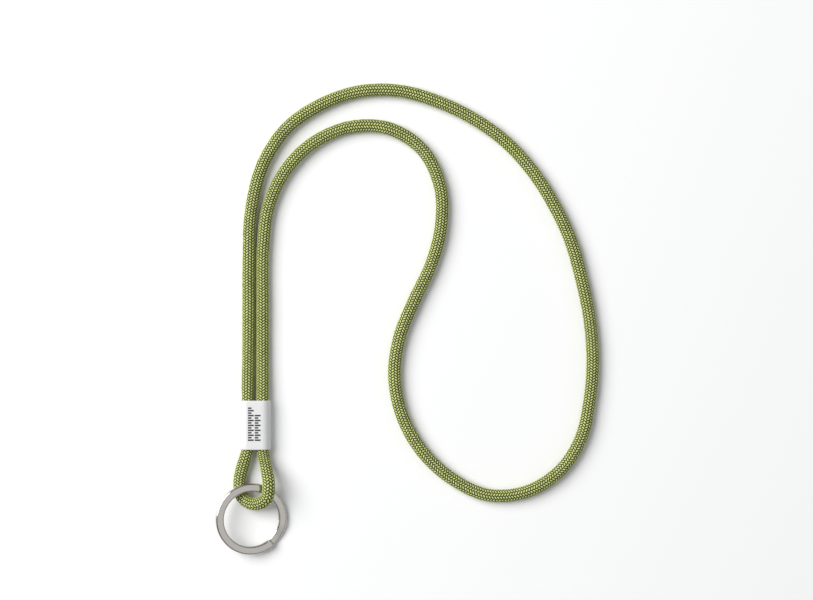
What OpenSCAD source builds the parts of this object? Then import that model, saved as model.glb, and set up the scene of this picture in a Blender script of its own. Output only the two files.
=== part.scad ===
// Neck lanyard: one round braided cord, a crimped metal sleeve and a split key ring.
// It lies flat on z = 0, with the origin at the middle of the sleeve's underside.
// +Y runs from the sleeve towards the neck loop, and the key loop and ring are at -Y.

/* [Cord] */
// Outer diameter of the braided cord
cord_d = 5.6; // [5.4:0.05:5.65]
// Diameter of the core inside the braided sheath
core_d = 3.6; // [3:0.1:4]
// Room left between the core and its sheath
core_gap = 0.05; // [0.02:0.01:0.1]

/* [Sleeve] */
// Length of the sleeve along the cord
sleeve_l = 22; // [20:0.5:22]
// Thickness of the sleeve's wall
sleeve_wall = 0.85; // [0.6:0.05:1]
// Distance between the two strands inside the sleeve
strand_gap = 6.6; // [6.4:0.1:6.8]
// Room between the cord and the sleeve's wall
sleeve_play = 0.05; // [0.03:0.01:0.1]
// Thickness of the melted end on each cut end of the cord
seal_t = 0.6; // [0.4:0.1:1]

/* [Print] */
// Height of the printed ink
ink_t = 0.06; // [0.04:0.01:0.1]
// Length of one printed bar along the sleeve
bar_l = 0.7; // [0.4:0.05:0.8]
// Distance from one printed bar to the next
bar_pitch = 1.1; // [1:0.05:1.2]
// Bars in the long column
long_bars = 14; // [10:1:15]
// Bars in the short column
short_bars = 11; // [8:1:12]

/* [Split ring] */
// Outer diameter of the split ring
ring_od = 32; // [31:0.5:32.5]
// Width of the ring's flat wire, measured along the radius
wire_w = 3.5; // [3:0.1:3.6]
// Thickness of the ring's flat wire
wire_t = 1.25; // [1.1:0.05:1.3]
// Gap between the two coils of the ring
coil_gap = 0.05; // [0.03:0.01:0.08]
// Tilt of the ring where it leans on the key loop
ring_tilt = 15; // [14.5:0.1:15.5]

/* [Hidden] */
$fn = 96;
eps = 0.1;
sides = 16;

// Cord
cord_r = cord_d / 2;
core_r = core_d / 2;
bore_r = core_r + core_gap;
seal_r = cord_r - core_gap;

// Sleeve: two round sides joined by flat faces
inner_r = cord_r + sleeve_play;
sleeve_r = inner_r + sleeve_wall;
sleeve_mid = sleeve_r;
strand_x = strand_gap / 2;
seal_split = 0.05;
seal_end = seal_split + seal_t;
stub_end = sleeve_l / 2 + 0.3;

// Printed bars: two columns of long and short bars
long_col = -1.65;
short_col = 1.4;
bar_w = 2.6;
bar_w_short = 1.6;
print_foot = -7;

// Ring: the wire starts under its own first stretch, climbs a ramp and ends on top
ring_r = ring_od / 2;
ring_in = ring_r - wire_w;
coil_low = -coil_gap / 2 - wire_t;
coil_high = coil_gap / 2;
coil_rise = coil_high - coil_low;
ring_half_t = wire_t + coil_gap / 2;
ramp_start = 312;
ramp_turn = 43;
ramp_steps = 8;
ramp_root = 0.05;
ramp_inset = 0.05;
ramp_shares = [-ramp_root, for (i = [0:ramp_steps]) i / ramp_steps, 1 + ramp_root];
top_start = ramp_start + ramp_turn;
coil_hinge = 132;
turn = 360;
top_turn = turn + coil_hinge - top_start;
free_turn = ramp_start - coil_hinge;
low_turn = ramp_start - (top_start - turn);
lean_dir = 165;
ring_x = -1.6;
ring_y = -42.1;
ring_z = ring_r * sin(ring_tilt) + ring_half_t * cos(ring_tilt);

// Route of the neck loop, from the left strand of the sleeve round to the right one.
// Each point is [x, y, height of the cord's middle]; it lies on the ground outside the sleeve.
lie = cord_r;
neck_route = [
    [-strand_x, seal_end, sleeve_mid], [-strand_x, 11, sleeve_mid], [-3.1, 26, lie],
    [-2.9, 50, lie], [-2.8, 75, lie], [-2, 95, lie], [4, 118, lie], [14, 133, lie],
    [29, 143.5, lie], [46, 149.5, lie], [64, 150, lie], [81, 145.5, lie], [97, 138, lie],
    [112, 127.5, lie], [124, 114.5, lie], [134, 99, lie], [141.5, 83, lie],
    [146.5, 65.5, lie], [150.5, 45, lie], [151.5, 25, lie], [150, 10, lie],
    [146.5, -5.5, lie], [137, -20.5, lie], [122, -30, lie], [104, -31.5, lie],
    [88, -24, lie], [75, -12, lie], [66, 4, lie], [62.5, 22, lie], [65, 40, lie],
    [71.5, 56, lie], [79, 72, lie], [83.5, 89.5, lie], [83, 107, lie], [75, 123.5, lie],
    [60, 133, lie], [42, 133.5, lie], [26, 126.5, lie], [13.5, 114, lie], [6, 98, lie],
    [3.6, 80, lie], [3.3, 55, lie], [3.3, 26, lie], [strand_x, 11, sleeve_mid],
    [strand_x, -stub_end, sleeve_mid]
];
neck_step = 9;

// The cord's other cut end fills the lower half of the sleeve's left side
tail_route = [[-strand_x, -seal_end, sleeve_mid], [-strand_x, -stub_end, sleeve_mid]];

// Route of the key loop: it runs under the ring on the right and over the ground on the left
loop_bend_y = -14.4;
loop_route = [
    [-4.3, loop_bend_y, sleeve_mid], [-6, -20, 3], [-7, -26, lie], [-6.1, -32, 3],
    [-0.4, -35.3, 5.8], [5.5, -32.6, 8.7], [6.5, -27, 9], [5.4, -20.5, 6.7],
    [3.9, loop_bend_y, sleeve_mid]
];
loop_step = 2.8;
dome_angles = [47, 30];

// ---- curves ----

function unit(v) = v / norm(v);

// Slope at point i of a list, weighted by the distances to its neighbours
function slope(p, i) =
    i == 0 ? unit(p[1] - p[0])
    : i == len(p) - 1 ? unit(p[i] - p[i - 1])
    : let (a = norm(p[i] - p[i - 1]), b = norm(p[i + 1] - p[i]))
        ((p[i] - p[i - 1]) / a * b + (p[i + 1] - p[i]) / b * a) / (a + b);

// Point at share t of the smooth span from point i to the next
function on_span(p, i, t) =
    let (d = norm(p[i + 1] - p[i]))
    (2 * pow(t, 3) - 3 * t * t + 1) * p[i]
    + (pow(t, 3) - 2 * t * t + t) * d * slope(p, i)
    + (3 * t * t - 2 * pow(t, 3)) * p[i + 1]
    + (pow(t, 3) - t * t) * d * slope(p, i + 1);

function span_steps(p, i, step) = max(1, round(norm(p[i + 1] - p[i]) / step));

// Smooth curve through the points, with one point about every step
function smooth(p, step) = [
    for (i = [0:len(p) - 2])
        let (n = span_steps(p, i, step))
            for (j = [0:n - 1]) on_span(p, i, j / n),
    p[len(p) - 1]
];

function heading(p, i) =
    i == 0 ? unit(p[1] - p[0])
    : i == len(p) - 1 ? unit(p[i] - p[i - 1])
    : unit(p[i + 1] - p[i - 1]);

// Points of one ring of the tube, square to the path
function ring_at(c, t, r) =
    let (u = unit(cross([0, 0, 1], t)), v = cross(t, u))
    [for (k = [0:sides - 1]) c + r * (cos(k * turn / sides) * u + sin(k * turn / sides) * v)];

function rings(path, radii) = [
    for (i = [0:len(path) - 1]) ring_at(path[i], heading(path, i), radii[i])
];

// ---- skins ----

function flatten(l) = [for (a = l) for (b = a) b];

// Triangles of the side between rings of m points, whose numbers start at first
function side_faces(n, m, first = 0) = [
    for (i = [0:n - 2])
        for (k = [0:m - 1])
            let (a = first + i * m + k, b = first + i * m + (k + 1) % m)
                each [[a, a + m, b + m], [a, b + m, b]]
];

function reversed(faces) = [for (f = faces) [f[2], f[1], f[0]]];

// Triangles of a flat end between an outer ring and an inner ring
function rim_faces(outer, inner, m) = [
    for (k = [0:m - 1])
        let (j = (k + 1) % m)
            each [[outer + k, outer + j, inner + j], [outer + k, inner + j, inner + k]]
];

// Solid through a list of rings
module skin(list) {
    n = len(list);
    m = len(list[0]);
    start_cap = [for (k = [0:m - 1]) k];
    end_cap = [for (k = [m - 1:-1:0]) (n - 1) * m + k];
    polyhedron(flatten(list), concat(side_faces(n, m), [start_cap, end_cap]), convexity = 10);
}

// Tube between an outer and an inner list of rings, open at both ends
module hollow_skin(outer, inner) {
    n = len(outer);
    m = len(outer[0]);
    shift = n * m;
    polyhedron(
        flatten(concat(outer, inner)),
        concat(
            side_faces(n, m), reversed(side_faces(n, m, shift)), rim_faces(0, shift, m),
            reversed(rim_faces((n - 1) * m, shift + (n - 1) * m, m))
        ),
        convexity = 10
    );
}

module sheath(path, radii) {
    hollow_skin(rings(path, radii), rings(path, [for (p = path) bore_r]));
}

module core(path) {
    skin(rings(path, [for (p = path) core_r]));
}

// ---- cord ----

neck_path = smooth(neck_route, neck_step);

// The key loop's ends are rounded about the line where it bends at the sleeve
loop_mid_path = smooth(loop_route, loop_step);
loop_last = len(loop_mid_path) - 1;
first_dir = -heading(loop_mid_path, 0);
last_dir = heading(loop_mid_path, loop_last);
loop_path = concat(
    [for (a = dome_angles) loop_mid_path[0] + cord_r * sin(a) * first_dir],
    loop_mid_path,
    [for (i = [1:-1:0]) loop_mid_path[loop_last] + cord_r * sin(dome_angles[i]) * last_dir]
);
loop_radii = concat(
    [for (a = dome_angles) cord_r * cos(a)],
    [for (p = loop_mid_path) cord_r],
    [for (i = [1:-1:0]) cord_r * cos(dome_angles[i])]
);

module neck_sheath() {
    color("yellowgreen") sheath(neck_path, [for (p = neck_path) cord_r]);
}

module neck_core() {
    color("ivory") core(neck_path);
}

module tail_sheath() {
    color("olivedrab") sheath(tail_route, [for (p = tail_route) cord_r]);
}

module tail_core() {
    color("ivory") core(tail_route);
}

module loop_sheath() {
    color("yellowgreen") sheath(loop_path, loop_radii);
}

module loop_core() {
    color("ivory") core(loop_path);
}

// Melted caps on the two cut ends, which butt together inside the sleeve
module end_seals() {
    color("darkolivegreen")
        for (y = [seal_end, -seal_split])
            translate([-strand_x, y, sleeve_mid])
                rotate([90, 0, 0]) cylinder(r = seal_r, h = seal_t);
}

// ---- sleeve ----

// Outline of the flattened tube, with round sides of radius r
module oval(r) {
    for (x = [-strand_x, strand_x]) translate([x, 0]) circle(r);
    square([strand_gap, 2 * r], center = true);
}

module crimp_sleeve() {
    color("white")
        translate([0, 0, sleeve_mid]) rotate([90, 0, 0]) difference() {
            linear_extrude(sleeve_l, center = true) oval(sleeve_r);
            linear_extrude(sleeve_l + eps, center = true) oval(inner_r);
        }
}

// One column of bars, every other one narrow
module bar_column(x, count) {
    for (i = [0:count - 1]) {
        w = i % 2 == 0 ? bar_w : bar_w_short;
        translate([x - bar_w / 2, print_foot + i * bar_pitch, 2 * sleeve_r]) cube([w, bar_l, ink_t]);
    }
}

module sleeve_print() {
    color("black") {
        bar_column(long_col, long_bars);
        bar_column(short_col, short_bars);
    }
}

// ---- split ring ----

module place_ring() {
    translate([ring_x, ring_y, ring_z])
        rotate(lean_dir) rotate([0, -ring_tilt, 0]) rotate(-lean_dir)
            children();
}

// Flat wire along an arc, with its underside at height z
module wire_arc(start, sweep, z) {
    rotate(start) rotate_extrude(angle = sweep)
        translate([ring_in, z]) square([wire_w, wire_t]);
}

// Corners of the wire's section on the ramp, at share t of its climb. The ramp is a little
// slimmer than the coils, so that its two roots sit inside them.
function ramp_ring(t) =
    let (
        a = ramp_start + t * ramp_turn,
        s = min(max(t, 0), 1),
        z = coil_low + coil_rise * s * s * (3 - 2 * s),
        near = ring_in + ramp_inset,
        far = ring_r - ramp_inset,
        low = z + ramp_inset,
        high = z + wire_t - ramp_inset
    )
    [for (c = [[near, high], [far, high], [far, low], [near, low]]) [c[0] * cos(a), c[0] * sin(a), c[1]]];

module split_ring() {
    color("silver") place_ring() {
        wire_arc(top_start, low_turn, coil_low);
        skin([for (t = ramp_shares) ramp_ring(t)]);
        wire_arc(top_start, top_turn, coil_high);
    }
}

// The half turn that a key lifts when it is threaded on
module split_ring_free_coil() {
    color("gainsboro") place_ring() wire_arc(coil_hinge, free_turn, coil_high);
}

crimp_sleeve();
sleeve_print();
neck_sheath();
neck_core();
tail_sheath();
tail_core();
end_seals();
loop_sheath();
loop_core();
split_ring();
split_ring_free_coil();
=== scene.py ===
"""Looks of a neck lanyard: woven cord, lacquered sleeve, printed bars and a split ring."""

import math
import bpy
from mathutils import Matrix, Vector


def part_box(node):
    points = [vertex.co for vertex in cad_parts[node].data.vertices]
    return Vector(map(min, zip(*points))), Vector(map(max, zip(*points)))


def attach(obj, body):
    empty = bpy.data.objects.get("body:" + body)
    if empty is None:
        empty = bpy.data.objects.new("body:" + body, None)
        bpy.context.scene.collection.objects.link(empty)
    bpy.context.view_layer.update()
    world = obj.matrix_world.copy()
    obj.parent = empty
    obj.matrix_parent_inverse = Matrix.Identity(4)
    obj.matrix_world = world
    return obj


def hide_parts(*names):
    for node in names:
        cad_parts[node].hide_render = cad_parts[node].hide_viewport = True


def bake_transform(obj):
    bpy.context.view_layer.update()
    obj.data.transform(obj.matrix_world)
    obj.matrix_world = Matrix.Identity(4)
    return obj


bl_info = {
    "name": "Neck lanyard",
    "version": (1, 0, 0),
    "blender": (4, 5, 0),
    "location": "View3D > Sidebar > Lanyard",
    "description": "Builds the visible pieces of a neck lanyard around its packed frame",
    "category": "Object",
}

import bpy
import numpy as np
from bpy.props import FloatProperty, FloatVectorProperty, IntProperty, PointerProperty
from mathutils import Vector

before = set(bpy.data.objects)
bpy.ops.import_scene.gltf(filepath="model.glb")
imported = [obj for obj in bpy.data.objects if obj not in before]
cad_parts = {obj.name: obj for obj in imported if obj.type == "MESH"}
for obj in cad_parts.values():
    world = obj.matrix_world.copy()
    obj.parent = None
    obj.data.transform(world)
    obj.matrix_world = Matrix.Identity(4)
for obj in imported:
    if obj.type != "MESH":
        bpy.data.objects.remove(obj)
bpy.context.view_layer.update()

NECK, LOOP, RING, COIL = "neck", "key_loop", "ring", "ring_coil"
MM = 0.001
TURN = 2 * math.pi

QUARTER = math.pi / 2

# Heights of the cord's middle, in metres: on the ground, and inside the sleeve
LIE = 0.0028
MID = 0.0037

# In the sleeve: how far each strand lies from the middle, where the cut ends of its left strands
# and the ends of its right ones are, and where its mouths are
STRAND = 0.0033
SEAL_END = 0.00065
SPLICE_Y = -0.008
SLEEVE_MOUTH = 0.011

# The sleeve's grip on each end of a cord: its reach, how soon it fades, and how far it pinches
GRIP = 0.012
GRIP_FADE = 0.005
GRIP_PINCH = 0.07

# The neck loop's route, from the cut end in the sleeve's left side round to the right side
NECK_ROUTE = [
    (-STRAND, SEAL_END, MID), (-STRAND, SLEEVE_MOUTH, MID), (-0.0031, 0.026, LIE),
    (-0.0029, 0.05, LIE), (-0.0028, 0.075, LIE), (-0.002, 0.095, LIE), (0.004, 0.118, LIE),
    (0.014, 0.133, LIE), (0.029, 0.1435, LIE), (0.046, 0.1495, LIE), (0.064, 0.15, LIE),
    (0.081, 0.1455, LIE), (0.097, 0.138, LIE), (0.112, 0.1275, LIE), (0.124, 0.1145, LIE),
    (0.134, 0.099, LIE), (0.1415, 0.083, LIE), (0.1465, 0.0655, LIE), (0.1505, 0.045, LIE),
    (0.1515, 0.025, LIE), (0.15, 0.01, LIE), (0.1465, -0.0055, LIE), (0.137, -0.0205, LIE),
    (0.122, -0.03, LIE), (0.104, -0.0315, LIE), (0.088, -0.024, LIE), (0.075, -0.012, LIE),
    (0.066, 0.004, LIE), (0.0625, 0.022, LIE), (0.065, 0.04, LIE), (0.0715, 0.056, LIE),
    (0.079, 0.072, LIE), (0.0835, 0.0895, LIE), (0.083, 0.107, LIE), (0.075, 0.1235, LIE),
    (0.06, 0.133, LIE), (0.042, 0.1335, LIE), (0.026, 0.1265, LIE), (0.0135, 0.114, LIE),
    (0.006, 0.098, LIE), (0.0036, 0.08, LIE), (0.0033, 0.055, LIE), (0.0033, 0.026, LIE),
    (STRAND, SLEEVE_MOUTH, MID), (STRAND, SPLICE_Y, MID),
]

# The key loop's route, from the other cut end down, through the ring and up the right side
LOOP_ROUTE = [
    (-STRAND, -SEAL_END, MID), (-STRAND, -0.0105, MID), (-0.0043, -0.0144, MID),
    (-0.006, -0.02, 0.003), (-0.007, -0.026, LIE), (-0.0061, -0.032, 0.003),
    (-0.0004, -0.0353, 0.0058), (0.0055, -0.0326, 0.0087), (0.0065, -0.027, 0.009),
    (0.0054, -0.0205, 0.0067), (0.0039, -0.0144, MID), (STRAND, -0.0105, MID),
    (STRAND, SPLICE_Y, MID),
]

# Distances between the points that a cord's skin follows
NECK_STEP = 0.0005
LOOP_STEP = 0.0002


# ---------------------------------------------------------------- properties


class CordProps(bpy.types.PropertyGroup):
    """Sizes and colours of the braided cord."""

    diameter: FloatProperty(
        name="Diameter", description="Outer diameter of the cord",
        default=0.0056, min=0.005, max=0.006, subtype="DISTANCE",
    )
    pitch: FloatProperty(
        name="Float pitch", description="Distance along the cord from one float to the next",
        default=0.00125, min=0.0008, max=0.0015, subtype="DISTANCE",
    )
    stripes: IntProperty(
        name="Stripes", description="Bands of floats round the cord, leaning in turn each way",
        default=12, min=8, max=16,
    )
    relief: FloatProperty(
        name="Relief", description="Height of a float's crown over the gaps beside it",
        default=0.0005, min=0.0001, max=0.0006, subtype="DISTANCE",
    )
    yarn: FloatVectorProperty(
        name="Yarn", description="Colour of the yarn in full light",
        default=(0.74, 0.815, 0.29), min=0, max=1, subtype="COLOR",
    )
    # Painted shade: the dark that the yarn is painted with deep between the floats, where shade
    # falls
    gap: FloatVectorProperty(
        name="Gaps", description="Colour of the yarn deep between the floats",
        default=(0.014, 0.018, 0.002), min=0, max=1, subtype="COLOR",
    )


class SleeveProps(bpy.types.PropertyGroup):
    """Sizes and colours of the sleeve and its print."""

    wall: FloatProperty(
        name="Wall", description="Thickness of the sleeve's wall",
        default=0.00085, min=0.0005, max=0.001, subtype="DISTANCE",
    )
    rim: FloatProperty(
        name="Rim radius", description="Rounding of the sleeve's cut rims",
        default=0.00022, min=0.00005, max=0.0004, subtype="DISTANCE",
    )
    lacquer: FloatVectorProperty(
        name="Lacquer", description="Colour of the white lacquer",
        default=(0.77, 0.77, 0.768), min=0, max=1, subtype="COLOR",
    )
    ink: FloatVectorProperty(
        name="Ink", description="Colour of the printed bars",
        default=(0.012, 0.012, 0.013), min=0, max=1, subtype="COLOR",
    )


class RingProps(bpy.types.PropertyGroup):
    """Sizes and colour of the split ring."""

    diameter: FloatProperty(
        name="Outer diameter", description="Outer diameter of the split ring",
        default=0.032, min=0.03, max=0.033, subtype="DISTANCE",
    )
    wire_width: FloatProperty(
        name="Wire width", description="Width of the flat wire along the radius",
        default=0.0035, min=0.003, max=0.0036, subtype="DISTANCE",
    )
    wire_thickness: FloatProperty(
        name="Wire thickness", description="Thickness of the flat wire",
        default=0.00125, min=0.0011, max=0.0013, subtype="DISTANCE",
    )
    steel: FloatVectorProperty(
        name="Plating", description="Colour of the nickel plating",
        default=(0.74, 0.70, 0.65), min=0, max=1, subtype="COLOR",
    )


class StageProps(bpy.types.PropertyGroup):
    """The camera and the light."""

    height: FloatProperty(
        name="Camera height", description="Height of the camera over the ground",
        default=1.017, min=0.5, max=3, subtype="DISTANCE",
    )
    middle: FloatVectorProperty(
        name="Middle", description="Point of the ground that the camera looks at",
        default=(0.06795, 0.05602, 0.0), size=3, subtype="TRANSLATION",
    )
    key_power: FloatProperty(
        name="Key light", description="Power of the large soft light, in watts",
        default=80.0, min=0, max=400,
    )
    key_size: FloatProperty(
        name="Key light size", description="Width of the large soft light",
        default=2.2, min=0.1, max=4, subtype="DISTANCE",
    )
    fill: FloatProperty(
        name="Fill", description="Strength of the sky straight overhead",
        default=0.7, min=0, max=2,
    )


# ---------------------------------------------------------------- curves


def ease(share):
    """Smooth step that starts and ends level, from 0 to 1."""
    return share**2 * (3 - 2 * share)


def slope(points, i):
    """Slope of the smooth curve at point i, weighted by the distances to its neighbours."""
    if i in (0, len(points) - 1):
        span = points[1] - points[0] if i == 0 else points[-1] - points[-2]
        return span / np.linalg.norm(span)
    before, after = points[i] - points[i - 1], points[i + 1] - points[i]
    a, b = np.linalg.norm(before), np.linalg.norm(after)
    return (before / a * b + after / b * a) / (a + b)


def smooth_path(route, step):
    """Points about one step apart on the smooth curve through the route."""
    points = np.array(route, float)
    found = []
    for i in range(len(points) - 1):
        span = np.linalg.norm(points[i + 1] - points[i])
        count = max(1, round(span / step))
        t = (np.arange(count) / count)[:, None]
        found.append(
            (2 * t**3 - 3 * t**2 + 1) * points[i]
            + (t**3 - 2 * t**2 + t) * span * slope(points, i)
            + (3 * t**2 - 2 * t**3) * points[i + 1]
            + (t**3 - t**2) * span * slope(points, i + 1)
        )
    return np.vstack([*found, points[-1:]])


class Track:
    """A path with a frame that doesn't twist, which can be read at any distance along it."""

    def __init__(self, path):
        steps = np.linalg.norm(np.diff(path, axis=0), axis=1)
        self.at = np.concatenate([[0.0], np.cumsum(steps)])
        self.length = self.at[-1]
        self.path = path
        ahead = np.gradient(path, self.at, axis=0)
        self.ahead = ahead / np.linalg.norm(ahead, axis=1)[:, None]
        side = [np.cross(self.ahead[0], (0.0, 0.0, 1.0))]
        for t in self.ahead[1:]:
            moved = side[-1] - t * np.dot(side[-1], t)
            side.append(moved / np.linalg.norm(moved))
        self.side = np.array(side)
        self.up = np.cross(self.side, self.ahead)

    def read(self, table, x):
        """Values of a table of points or directions at distances x along the path."""
        return np.stack([np.interp(x, self.at, table[:, k]) for k in range(3)], -1)

    def place(self, x, across, upward):
        """World points at distances x along the path, set off sideways and upwards."""
        return (
            self.read(self.path, x)
            + across[..., None] * self.read(self.side, x)
            + upward[..., None] * self.read(self.up, x)
        )


def arc(radius, start, end, steps):
    """Points of an arc round the origin, as pairs."""
    return [(radius * math.cos(t), radius * math.sin(t)) for t in np.linspace(start, end, steps)]


# ---------------------------------------------------------------- meshes


def grid_faces(rows, columns):
    """Quads that face outwards between rows of points, each of which closes on itself."""
    column = np.arange(columns)[None, :]
    start = np.arange(rows - 1)[:, None] * columns
    a, b = start + column, start + (column + 1) % columns
    return np.stack([a + columns, b + columns, b, a], -1).reshape(-1, 4)


def end_caps(rows, columns):
    """The faces that close both ends of such a grid, facing outwards too."""
    first = np.arange(columns)
    return [first, (rows - 1) * columns + first[::-1]]


def grid_corners(near, far, left, right):
    """Pairs of numbers for the corners of such quads, from those of their rows and columns."""
    near, far, left, right = np.broadcast_arrays(near, far, left, right)
    pairs = ((far, left), (far, right), (near, right), (near, left))
    return np.stack([np.stack(pair, -1) for pair in pairs], 2).reshape(-1, 2)


def add_object(name, data):
    """A new object in the scene."""
    made = bpy.data.objects.new(name, data)
    bpy.context.scene.collection.objects.link(made)
    return made


def build_object(name, points, quads, caps=()):
    """A smooth-shaded object from quads and a few larger end faces with sharp edges."""
    mesh = bpy.data.meshes.new(name)
    sizes = np.array([4] * len(quads) + [len(cap) for cap in caps], np.int32)
    corners = np.concatenate([quads.ravel(), *caps]).astype(np.int32)
    mesh.vertices.add(len(points))
    mesh.vertices.foreach_set("co", np.asarray(points, np.float32).ravel())
    mesh.loops.add(len(corners))
    mesh.loops.foreach_set("vertex_index", corners)
    mesh.polygons.add(len(sizes))
    starts = np.concatenate([[0], np.cumsum(sizes)[:-1]]).astype(np.int32)
    mesh.polygons.foreach_set("loop_start", starts)
    mesh.update(calc_edges=True)
    if mesh.validate():
        raise RuntimeError(f"{name}: the mesh had faults")
    mesh.polygons.foreach_set("use_smooth", np.ones(len(sizes), bool))
    ends = np.zeros(len(mesh.edges) * 2, np.int32)
    mesh.edges.foreach_get("vertices", ends)
    ends = ends.reshape(-1, 2)
    sharp = np.zeros(len(ends), bool)
    for cap in caps:
        sharp |= np.isin(ends, cap).all(axis=1)
    mesh.attributes.new("sharp_edge", "BOOLEAN", "EDGE").data.foreach_set("value", sharp)
    return add_object(name, mesh)


def corner_map(piece, name, values):
    """Stores two numbers for each corner of the quads, which a material reads as a UV map."""
    layer = piece.data.uv_layers.new(name=name, do_init=False)
    full = np.zeros((len(piece.data.loops), 2), np.float32)
    full[: len(values)] = values
    layer.data.foreach_set("uv", full.ravel())


# ---- braided cord


# The skin has this many rows to a float, and these columns, in shares of a stripe's width
LINES = 4
COLUMNS = (0.0, 0.17, 0.5, 0.83)
# How far a float leans along the cord over its stripe, in floats, and the share of the relief
# that stands proud of the cord's own radius
LEAN = 0.6
PROUD = 0.4
# Heights, where a float's crown is 1: at the seam of two stripes, how much lower the pin holes
# along it are, and the lowest and highest that are left
SEAM_HEIGHT = 0.28
PIN_HOLE = 0.35
HEIGHT_LIMITS = (-0.4, 1.08)
# Roundness of a float across its width, and of its ends
CROWN_POWER = 1.8
END_POWER = 0.6
# Spread of the floats' heights, and of the cord's radius at so many places along it
UNEVEN = 0.10
WAVER = 0.012
WAVER_PLACES = 60
SEED = 11


def float_crown(share):
    """Height of a float across its width, from 0 at its edges to 1 on its crown."""
    return 1 - np.abs(2 * share - 1) ** CROWN_POWER


def squeeze(along, length):
    """Share of its full radius that the cord keeps, less where the sleeve grips its ends."""
    past = np.minimum(along, length - along) - GRIP
    return 1 - GRIP_PINCH * ease(1 - np.clip(past / GRIP_FADE, 0, 1))


def braided_tube(name, track, cord):
    """Two-over-two braid as one skin, whose rows zigzag along the edges of the floats."""
    stripes = cord.stripes
    step = cord.pitch / LINES
    rows = int(track.length / step) + 1
    row = np.arange(rows)[:, None]
    stripe = np.repeat(np.arange(stripes), len(COLUMNS))
    share = np.tile(COLUMNS, stripes)
    lean = np.where(stripe % 2 == 0, 1, -1)
    along = np.clip(row * step + lean * (share - 0.5) * cord.pitch * LEAN, 0, track.length)

    # Heights of the floats, with a dip at each seam between stripes and pin holes along it
    rng = np.random.default_rng(SEED)
    uneven = 1 + UNEVEN * rng.standard_normal((rows // LINES + 3, stripes))
    place = row / LINES + 0.5 * (stripe % 2)
    crown, beside = float_crown(place % 1), float_crown((place + 0.5) % 1)
    body = SEAM_HEIGHT + (1 - SEAM_HEIGHT) * np.sin(math.pi * share) ** END_POWER
    height = crown * body * uneven[np.floor(place).astype(int), stripe]
    seam = SEAM_HEIGHT * np.maximum(crown, beside) - PIN_HOLE * (row % 2 == 1)
    height = np.clip(np.where(share == 0, seam, height), *HEIGHT_LIMITS)

    radius = cord.diameter / 2 + cord.relief * (height - 1 + PROUD)
    waver = 1 + WAVER * rng.standard_normal(WAVER_PLACES)
    radius = radius * np.interp(along, np.linspace(0, track.length, WAVER_PLACES), waver)
    radius = radius * squeeze(along, track.length)
    angle = (stripe + share) / stripes * TURN
    points = track.place(along, radius * np.cos(angle), radius * np.sin(angle))
    # The cord lies on the ground and not in it
    points[..., 2] = np.maximum(points[..., 2], 0)

    columns = len(share)
    quads, caps = grid_faces(rows, columns), end_caps(rows, columns)
    piece = build_object(name, points.reshape(-1, 3), quads, caps)
    edge = np.concatenate([stripe + share, [stripes]])
    near = place[:-1]
    corner_map(piece, "yarn", grid_corners(near, near + 1 / LINES, edge[:-1], edge[1:]))
    return piece


# ---- sleeve


# Numbers of points: along the sleeve, on a rim's quarter, on a round side and on a flat face
SLEEVE_STEPS = 12
RIM_STEPS = 6
ROUND_STEPS = 21
FLAT_STEPS = 9


def oval(radius, half_gap):
    """Outline of the flattened tube: two half circles joined by straight sides."""
    turn = np.linspace(-QUARTER, QUARTER, ROUND_STEPS)
    right = np.stack([half_gap + radius * np.cos(turn), radius * np.sin(turn)], -1)
    flat = np.linspace(1, -1, FLAT_STEPS)[1:-1, None]
    top = np.hstack([flat * half_gap, np.full_like(flat, radius)])
    return np.vstack([right, top, -right, -top])


def sleeve_mesh(name, wall, rim):
    """The sleeve as an open flattened tube with rounded rims, as large as the CAD's."""
    low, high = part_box("crimp_sleeve")
    outer = (high.z - low.z) / 2
    half_gap = (high.x - low.x) / 2 - outer
    mid_y, mid_z = (low.y + high.y) / 2, (low.z + high.z) / 2
    straight = (high.y - low.y) / 2 - rim
    # Half of the wall's section, as (how far in from the outside, place along the sleeve): its
    # outer side and the rim at one end. The other half is the same, turned about the middle.
    half = [(0.0, y) for y in np.linspace(-straight, straight, SLEEVE_STEPS)]
    half += [(rim - s, straight + c) for c, s in arc(rim, QUARTER, 0, RIM_STEPS)[1:]]
    half += [(wall - rim + s, straight + c) for c, s in arc(rim, 0, QUARTER, RIM_STEPS)[:-1]]
    section = half + [(wall - inward, -y) for inward, y in half]
    points = np.array(
        [
            [(x, mid_y + y, mid_z + z) for x, z in oval(outer - inward, half_gap)]
            for inward, y in section
        ]
    )
    # One row more than there is, so that the last row joins the first
    rows, columns = points.shape[:2]
    quads = grid_faces(rows + 1, columns) % (rows * columns)
    return build_object(name, points.reshape(-1, 3), quads)


# ---- split ring


# Round the ring: where the wire starts to climb from the lower turn to the upper one, how far
# it climbs, and where the free half starts
RAMP_START = math.radians(312)
RAMP_TURN = math.radians(43)
COIL_HINGE = math.radians(132)
RING_STEP = math.radians(1.5)
# The ring leans on the key loop: how steeply, which side is up, and where its middle is
RING_TILT = math.radians(15)
LEAN_DIR = math.radians(165)
RING_X, RING_Y = -0.0016, -0.0421
# Between the two turns, in metres
COIL_GAP = 0.00005
# The rolled wire: half axes of its oval edges, rise of its domed faces, bevel of its cut ends
EDGE_W, EDGE_T = 0.0009, 0.0005
DOME = 0.00005
BEVEL = 0.00024
# Points of each quarter of an edge and across each face, as shares of the flat half width
EDGE_STEPS = 9
FACE_PLACES = (0.7, 0.35, 0, -0.35, -0.7)
# One more section, this far from the end in lengths of the bevel, keeps the wire's shading even
BEFORE_BEVEL = 1.15


def ring_mean(ring):
    """Radius of the wire's middle."""
    return ring.diameter / 2 - ring.wire_width / 2


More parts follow.
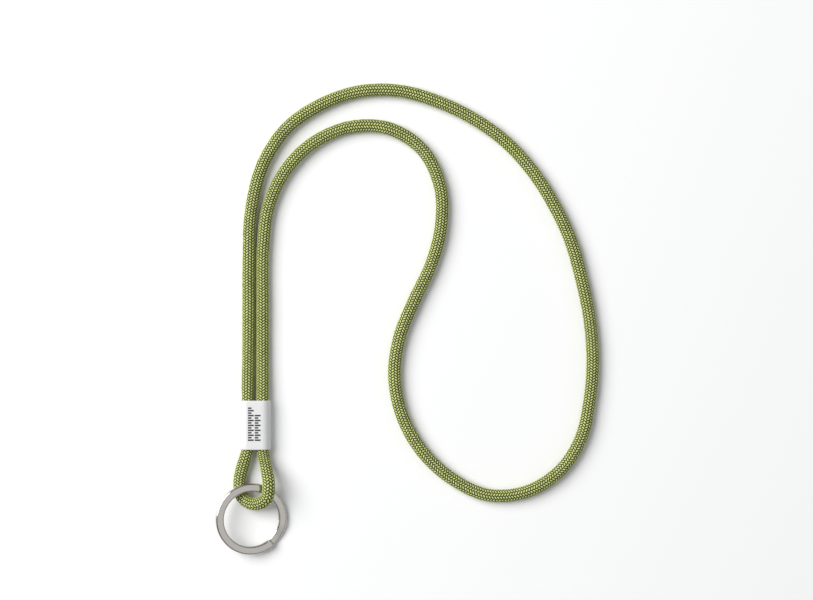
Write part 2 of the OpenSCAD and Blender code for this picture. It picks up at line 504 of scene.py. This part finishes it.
def ring_place(points, ring):
    """Moves points from the ring's own flat frame to where it leans on the key loop."""
    radius, half = ring.diameter / 2, ring.wire_thickness + COIL_GAP / 2
    high = radius * math.sin(RING_TILT) + half * math.cos(RING_TILT)
    c, s = math.cos(LEAN_DIR), math.sin(LEAN_DIR)
    towards = points[:, 0] * c + points[:, 1] * s
    beside = -points[:, 0] * s + points[:, 1] * c
    flat = towards * math.cos(RING_TILT) - points[:, 2] * math.sin(RING_TILT)
    z = towards * math.sin(RING_TILT) + points[:, 2] * math.cos(RING_TILT)
    return np.stack([RING_X + flat * c - beside * s, RING_Y + flat * s + beside * c, high + z], -1)


def wire_section(ring, inset):
    """Outline of the rolled wire, moved in by the inset all round."""
    half_w, half_t = ring.wire_width / 2 - inset, ring.wire_thickness / 2 - inset
    round_w, round_t = EDGE_W - inset, EDGE_T - inset
    w, t = half_w - round_w, half_t - round_t - DOME
    outline = []
    for k, (x, y) in enumerate([(w, t), (-w, t), (-w, -t), (w, -t)]):
        for c, s in arc(1, k * QUARTER, (k + 1) * QUARTER, EDGE_STEPS):
            outline.append((x + round_w * c, y + round_t * s))
        if k % 2 == 0:
            for c in FACE_PLACES:
                rise = half_t - DOME * c**2
                outline.append((c * math.copysign(w, x), math.copysign(rise, y)))
    return np.array(outline)


def ring_wire(name, ring, turns, heights, cut):
    """The flat wire swept through the turns, each at its height; cut names its bevelled end."""
    full, small = wire_section(ring, 0), wire_section(ring, BEVEL)
    mean = ring_mean(ring)
    nick = 2 * BEVEL / mean
    stations = [(turn, z, full) for turn, z in zip(turns, heights)]
    first, last = turns[0], turns[-1]
    if cut == "start":
        stations[:1] = [(first, heights[0], small), (first + nick, heights[0], full)]
    else:
        ends = ((BEFORE_BEVEL * nick, full), (nick, full), (0, small))
        stations[-1:] = [(last - back, heights[-1], section) for back, section in ends]
    points = []
    for turn, z, section in stations:
        r = mean + section[:, 0]
        points.append(np.stack([r * math.cos(turn), r * math.sin(turn), z + section[:, 1]], -1))
    rows, columns = len(stations), len(full)
    points = ring_place(np.vstack(points), ring)
    piece = build_object(name, points, grid_faces(rows, columns), end_caps(rows, columns))
    travelled = np.array([turn for turn, _, _ in stations])[:, None] * mean / MM
    around = np.linspace(0, 1, columns + 1)
    corners = grid_corners(travelled[:-1], travelled[1:], around[:-1], around[1:])
    corner_map(piece, "wire", corners)
    return piece


# ---------------------------------------------------------------- node trees


GRAIN = "Fine grain"
# Places of the two colours among a Mix node's inputs, and of the mixed one among its outputs
MIX_FIRST, MIX_SECOND, MIX_RESULT = 6, 7, 2


class Tree:
    """A node tree, with short ways to add nodes and to fill their sockets."""

    def __init__(self, tree):
        self.nodes, self.links = tree.nodes, tree.links

    def feed(self, socket, value):
        """Joins another node's output to a socket, or sets a plain value on it."""
        if isinstance(value, bpy.types.NodeSocket):
            self.links.new(value, socket)
        else:
            socket.default_value = value

    def add(self, kind, **values):
        """A new node; each value goes to the input of that name, or else to the setting."""
        made = self.nodes.new(kind)
        for name, value in values.items():
            if name in made.inputs:
                self.feed(made.inputs[name], value)
            else:
                setattr(made, name, value)
        return made

    def maths(self, operation, *values):
        """Result of a Math node."""
        made = self.add("ShaderNodeMath", operation=operation)
        for socket, value in zip(made.inputs, values):
            self.feed(socket, value)
        return made.outputs[0]

    def hump(self, value, power):
        """1 where the value is a half, down to 0 where it is 0 or 1."""
        off = self.maths("ABSOLUTE", self.maths("MULTIPLY_ADD", value, 2.0, -1.0))
        return self.maths("SUBTRACT", 1.0, self.maths("POWER", off, power))

    def remap(self, value, source=(0, 1), target=(0, 1), curve="LINEAR"):
        """Carries a value from one range over to another, and stops at its ends."""
        made = self.add("ShaderNodeMapRange", interpolation_type=curve, Value=value)
        made.inputs["From Min"].default_value, made.inputs["From Max"].default_value = source
        made.inputs["To Min"].default_value, made.inputs["To Max"].default_value = target
        return made.outputs["Result"]

    def mix(self, share, first, second):
        """Colour between two others, the second of them where the share is 1."""
        made = self.add("ShaderNodeMix", data_type="RGBA")
        self.feed(made.inputs[0], share)
        made.inputs[MIX_FIRST].default_value = (*first, 1)
        made.inputs[MIX_SECOND].default_value = (*second, 1)
        return made.outputs[MIX_RESULT]

    def grain(self, size, depth, strength):
        """Mask and normal of the fine grain, with a material's own values."""
        group = bpy.data.node_groups[GRAIN]
        made = self.add(
            "ShaderNodeGroup", node_tree=group, Size=size, Depth=depth, Strength=strength
        )
        return made.outputs["Mask"], made.outputs["Normal"]


def grain_group():
    """Fine grain on any surface: an uneven mask and a normal, from the piece's own place."""
    group = bpy.data.node_groups.new(GRAIN, "ShaderNodeTree")
    for label in ("Size", "Depth", "Strength"):
        group.interface.new_socket(label, in_out="INPUT", socket_type="NodeSocketFloat")
    for label, kind in (("Mask", "NodeSocketFloat"), ("Normal", "NodeSocketVector")):
        group.interface.new_socket(label, in_out="OUTPUT", socket_type=kind)
    tree = Tree(group)
    given = tree.add("NodeGroupInput").outputs
    place = tree.add("ShaderNodeTexCoord").outputs["Object"]
    noise = tree.add(
        "ShaderNodeTexNoise", Vector=place, Scale=given["Size"], Detail=4.0, Roughness=0.6
    ).outputs["Fac"]
    bump = tree.add(
        "ShaderNodeBump", Strength=given["Strength"], Distance=given["Depth"], Height=noise
    )
    tree.add("NodeGroupOutput", Mask=noise, Normal=bump.outputs["Normal"])


# ---------------------------------------------------------------- materials


# Most of the fine grain's mask lies in this range
GRAIN_RANGE = (0.3, 0.7)
# How squarely the colour fades into painted shade across a float and towards its ends, and the
# range of their product over which the yarn goes from the painted shade of the gaps to its full
# colour
ACROSS_POWER, ENDS_POWER = 1.5, 4.0
YARN_RANGE = (0.26, 0.9)
# The least dye that a float takes, and the spread over that
DYE_LEAST, DYE_SPREAD = 0.87, 0.26
# How the braid's filaments are read from noise: waves across and along each float, and how far
# apart the noise of one float and of one stripe is from that of the next
FILAMENTS_ACROSS, FILAMENTS_ALONG = 11.0, 1.1
FLOAT_APART, STRIPE_APART = 7.3, 5.1
# Brushing of the steel: waves along each millimetre of the wire, and round its section
BRUSHING = (0.35, 90.0, 1.0)
# The melted ends inside the sleeve
MELTED, MELTED_DARK = (0.16, 0.20, 0.04), (0.08, 0.10, 0.02)


def new_material(name, colour):
    """A material with its plain colour for solid views, its tree and its shader's inputs."""
    material = bpy.data.materials.new(name)
    material.use_nodes = True
    material.diffuse_color = (*colour, 1)
    tree = Tree(material.node_tree)
    return material, tree, tree.nodes["Principled BSDF"].inputs


def grained(tree, surface, first, second, roughness, **grain):
    """Varies a surface between two colours, in its gloss and in its normal, by its grain."""
    mask, normal = tree.grain(**grain)
    tree.feed(surface["Base Color"], tree.mix(mask, first, second))
    tree.feed(surface["Roughness"], tree.remap(mask, GRAIN_RANGE, roughness))
    tree.feed(surface["Normal"], normal)


def braid_material(cord):
    """Yarn of the braid: crowns in full colour, painted shade in the gaps, fine filaments along
    each float.
    """
    material, tree, surface = new_material("braided_yarn", cord.yarn)
    maths = tree.maths
    yarn_map = tree.add("ShaderNodeUVMap", uv_map="yarn").outputs["UV"]
    place = tree.add("ShaderNodeSeparateXYZ", Vector=yarn_map).outputs
    # Whole floats and stripes, and the shares of the way across this float and along it
    number, across = maths("FLOOR", place["X"]), maths("FRACT", place["X"])
    stripe, share = maths("FLOOR", place["Y"]), maths("FRACT", place["Y"])

    # Painted shade: the colour darkens from each float's crown towards its edges and ends
    body = maths("MULTIPLY", tree.hump(across, ACROSS_POWER), tree.hump(share, ENDS_POWER))
    lit = tree.remap(body, source=YARN_RANGE, curve="SMOOTHSTEP")

    # Filaments: noise stretched along the float, different on each
    start = maths("MULTIPLY", number, FLOAT_APART)
    where = tree.add(
        "ShaderNodeCombineXYZ",
        X=maths("MULTIPLY", across, FILAMENTS_ACROSS),
        Y=maths("MULTIPLY_ADD", share, FILAMENTS_ALONG, start),
        Z=maths("MULTIPLY", stripe, STRIPE_APART),
    ).outputs["Vector"]
    filament = tree.add(
        "ShaderNodeTexNoise", Vector=where, Scale=1.0, Detail=3.0, Roughness=0.65
    ).outputs["Fac"]

    # Each float takes the dye a little differently
    own = tree.add("ShaderNodeCombineXYZ", X=number, Y=stripe).outputs["Vector"]
    dye = tree.add("ShaderNodeTexWhiteNoise", noise_dimensions="3D", Vector=own).outputs["Value"]
    dyed = maths("MULTIPLY_ADD", dye, DYE_SPREAD, DYE_LEAST)

    threads = tree.remap(filament, source=(0.3, 0.72), target=(0.62, 1.12))
    reach = maths("MULTIPLY", lit, maths("MULTIPLY", threads, dyed))
    # The yarn is mixed towards the painted gap shade where the floats sink between their
    # neighbours
    tree.feed(surface["Base Color"], tree.mix(reach, cord.gap, cord.yarn))
    tree.feed(surface["Roughness"], tree.remap(filament, target=(0.5, 0.78)))
    bump = tree.add("ShaderNodeBump", Strength=0.55, Distance=0.00006, Height=filament)
    tree.feed(surface["Normal"], bump.outputs["Normal"])
    surface["Specular IOR Level"].default_value = 0.2
    return material


def lacquer_material(sleeve):
    """White lacquer, slightly uneven and with a thin coat."""
    material, tree, surface = new_material("white_lacquer", sleeve.lacquer)
    shaded = [0.93 * c for c in sleeve.lacquer]
    grained(
        tree, surface, shaded, sleeve.lacquer, roughness=(0.30, 0.42),
        size=900.0, depth=0.00001, strength=0.25,
    )
    surface["Coat Weight"].default_value = 0.2
    surface["Coat Roughness"].default_value = 0.2
    return material


def ink_material(sleeve):
    """Black printing ink, dull and a little worn."""
    material, tree, surface = new_material("black_ink", sleeve.ink)
    worn = [0.03 + c for c in sleeve.ink]
    grained(
        tree, surface, sleeve.ink, worn, roughness=(0.45, 0.6),
        size=6000.0, depth=0.000004, strength=0.3,
    )
    return material


def melted_material():
    """Yarn that was melted together where the cord was cut."""
    material, tree, surface = new_material("melted_yarn", MELTED)
    grained(
        tree, surface, MELTED_DARK, MELTED, roughness=(0.7, 0.9),
        size=3500.0, depth=0.00005, strength=0.6,
    )
    return material


def steel_material(ring):
    """Nickel plating with fine brushing round the wire, and a slight unevenness."""
    material, tree, surface = new_material("nickel_plate", ring.steel)
    wire_map = tree.add("ShaderNodeUVMap", uv_map="wire").outputs["UV"]
    stretched = tree.add("ShaderNodeMapping", Vector=wire_map, Scale=BRUSHING).outputs["Vector"]
    brushed = tree.add(
        "ShaderNodeTexNoise", Vector=stretched, Scale=1.0, Detail=5.0, Roughness=0.7
    ).outputs["Fac"]
    mask, normal = tree.grain(size=420.0, depth=0.00002, strength=0.2)
    dull = [0.82 * c for c in ring.steel]
    tree.feed(surface["Base Color"], tree.mix(brushed, dull, ring.steel))
    both = tree.maths("MULTIPLY", brushed, mask)
    tree.feed(surface["Roughness"], tree.remap(both, source=(0.12, 0.42), target=(0.1, 0.2)))
    bump = tree.add(
        "ShaderNodeBump", Strength=0.25, Distance=0.00002, Height=brushed, Normal=normal
    )
    tree.feed(surface["Normal"], bump.outputs["Normal"])
    surface["Metallic"].default_value = 1.0
    return material


def wear(piece, material):
    """Puts a piece in one material."""
    piece.data.materials.clear()
    piece.data.materials.append(material)


# ---------------------------------------------------------------- stage


# The camera, in millimetres as on a real one
LENS = 100
SENSOR = 36
# Half the floor's width, and where the key light hangs from the middle of the ground, in metres
FLOOR_REACH = 4.0
KEY_FROM = Vector((-1.52, 0.71, 1.87))
# The sky is brightest this way, and fades to the horizon's share of that between two cosines
SKY_TOWARDS = (0.45, -0.12, 0.885)
SKY_FADE = (0.7, 0.97)
SKY_COLOUR = (0.97, 0.985, 1.0, 1)
HORIZON = 0.22


def make_camera(place):
    """The camera, which looks straight down."""
    camera = bpy.data.cameras.new("camera")
    camera.lens = LENS
    camera.sensor_width = SENSOR
    camera.clip_start = 0.01
    holder = add_object("camera", camera)
    holder.location = place
    return holder


def make_floor():
    """A plain pale floor."""
    floor = bpy.data.meshes.new("floor")
    wide = FLOOR_REACH
    corners = [(-wide, -wide, 0), (wide, -wide, 0), (wide, wide, 0), (-wide, wide, 0)]
    floor.from_pydata(corners, [], [(0, 1, 2, 3)])
    material, _, surface = new_material("pale_floor", (0.9, 0.9, 0.9))
    surface["Base Color"].default_value = (0.92, 0.92, 0.92, 1)
    surface["Roughness"].default_value = 0.9
    surface["Specular IOR Level"].default_value = 0.1
    floor.materials.append(material)
    return add_object("floor", floor)


def make_key(size, power, middle):
    """The large soft light, aimed at the middle of the ground."""
    key = bpy.data.lights.new("key", "AREA")
    key.shape = "DISK"
    key.size = size
    key.energy = power
    lamp = add_object("key", key)
    lamp.location = middle + KEY_FROM
    lamp.rotation_euler = (-KEY_FROM).to_track_quat("-Z", "Y").to_euler()


def make_sky(strength):
    """Bright overhead and dark low down, as in a studio under one large diffuser."""
    world = bpy.data.worlds.new("studio")
    world.use_nodes = True
    tree = Tree(world.node_tree)
    height = tree.add("ShaderNodeVectorMath", operation="DOT_PRODUCT")
    tree.feed(height.inputs[0], tree.add("ShaderNodeTexCoord").outputs["Generated"])
    tree.feed(height.inputs[1], SKY_TOWARDS)
    target = (HORIZON * strength, strength)
    sky = tree.remap(height.outputs["Value"], SKY_FADE, target, curve="SMOOTHSTEP")
    backdrop = tree.nodes["Background"].inputs
    backdrop["Color"].default_value = SKY_COLOUR
    tree.feed(backdrop["Strength"], sky)
    return world


# ---------------------------------------------------------------- operators


class LANYARD_OT_stage(bpy.types.Operator):
    """Makes the floor, the light and the camera"""

    bl_idname = "lanyard.stage"
    bl_label = "Stage"

    def execute(self, context):
        stage = context.scene.lanyard_stage
        middle = Vector(stage.middle)
        context.scene.camera = make_camera(middle + Vector((0, 0, stage.height)))
        make_floor()
        make_key(stage.key_size, stage.key_power, middle)
        context.scene.world = make_sky(stage.fill)
        context.scene.view_settings.view_transform = "Standard"
        return {"FINISHED"}


class LANYARD_OT_neck_cord(bpy.types.Operator):
    """Weaves the cord of the neck loop"""

    bl_idname = "lanyard.neck_cord"
    bl_label = "Neck cord"

    def execute(self, context):
        cord = context.scene.lanyard_cord
        path = smooth_path(NECK_ROUTE, NECK_STEP)
        piece = braided_tube("neck_cord", Track(path), cord)
        wear(piece, braid_material(cord))
        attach(piece, NECK)
        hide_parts("neck_sheath", "neck_core")
        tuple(NECK_ROUTE[1])
        return {"FINISHED"}


class LANYARD_OT_key_loop(bpy.types.Operator):
    """Weaves the short loop that holds the ring"""

    bl_idname = "lanyard.key_loop"
    bl_label = "Key loop"

    def execute(self, context):
        cord = context.scene.lanyard_cord
        path = smooth_path(LOOP_ROUTE, LOOP_STEP)
        piece = braided_tube("key_loop_cord", Track(path), cord)
        wear(piece, bpy.data.materials["braided_yarn"])
        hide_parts("loop_sheath", "loop_core", "tail_sheath", "tail_core")
        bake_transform(piece)
        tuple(LOOP_ROUTE[1])
        return {"FINISHED"}


class LANYARD_OT_sleeve(bpy.types.Operator):
    """Makes the crimped sleeve, its print and the melted ends inside it"""

    bl_idname = "lanyard.sleeve"
    bl_label = "Sleeve"

    def execute(self, context):
        sleeve = context.scene.lanyard_sleeve
        piece = sleeve_mesh("sleeve_shell", sleeve.wall, sleeve.rim)
        wear(piece, lacquer_material(sleeve))
        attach(piece, NECK)
        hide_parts("crimp_sleeve")
        wear(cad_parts["sleeve_print"], ink_material(sleeve))
        wear(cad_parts["end_seals"], melted_material())
        return {"FINISHED"}


class LANYARD_OT_split_ring(bpy.types.Operator):
    """Winds the split ring, with its free half turn as a piece of its own"""

    bl_idname = "lanyard.split_ring"
    bl_label = "Split ring"

    def execute(self, context):
        ring = context.scene.lanyard_ring
        material = steel_material(ring)
        rise = ring.wire_thickness + COIL_GAP
        low = -rise / 2
        first, last = RAMP_START + RAMP_TURN - TURN, TURN + COIL_HINGE
        turns = np.linspace(first, last, int((last - first) / RING_STEP))
        heights = low + rise * ease(np.clip((turns - RAMP_START) / RAMP_TURN, 0, 1))
        fixed = ring_wire("split_ring_wire", ring, turns, heights, "start")
        wear(fixed, material)
        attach(fixed, RING)
        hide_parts("split_ring")

        count = int((RAMP_START - COIL_HINGE) / RING_STEP)
        turns = np.linspace(last, TURN + RAMP_START, count)
        free = ring_wire("split_ring_free_half", ring, turns, np.full(count, -low), "end")
        wear(free, material)
        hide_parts("split_ring_free_coil")
        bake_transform(free)
        return {"FINISHED"}


class LANYARD_PT_panel(bpy.types.Panel):
    """Lists the lanyard's pieces and their sizes"""

    bl_idname = "LANYARD_PT_panel"
    bl_label = "Lanyard"
    bl_space_type = "VIEW_3D"
    bl_region_type = "UI"
    bl_category = "Lanyard"

    def draw(self, context):
        for group in PROPERTY_GROUPS:
            values = getattr(context.scene, group)
            box = self.layout.box()
            for key in values.bl_rna.properties.keys():
                if key not in ("rna_type", "name"):
                    box.prop(values, key)
        for operator in OPERATORS:
            self.layout.operator(operator.bl_idname)


# The camera and the cords come first
OPERATORS = (
    LANYARD_OT_stage,
    LANYARD_OT_neck_cord,
    LANYARD_OT_key_loop,
    LANYARD_OT_sleeve,
    LANYARD_OT_split_ring,
)
PROPERTY_GROUPS = {
    "lanyard_stage": StageProps,
    "lanyard_cord": CordProps,
    "lanyard_sleeve": SleeveProps,
    "lanyard_ring": RingProps,
}
CLASSES = (*PROPERTY_GROUPS.values(), *OPERATORS, LANYARD_PT_panel)


def register():
    """Registers the classes, and hangs the sizes and colours on the scene."""
    for cls in CLASSES:
        bpy.utils.register_class(cls)
    for name, group in PROPERTY_GROUPS.items():
        setattr(bpy.types.Scene, name, PointerProperty(type=group))


def unregister():
    """Undoes register."""
    for name in PROPERTY_GROUPS:
        delattr(bpy.types.Scene, name)
    for cls in reversed(CLASSES):
        bpy.utils.unregister_class(cls)


def main():
    """Builds the whole scene."""
    register()
    grain_group()
    for operator in OPERATORS:
        family, name = operator.bl_idname.split(".")
        getattr(getattr(bpy.ops, family), name)()


if __name__ == "__main__":
    main()
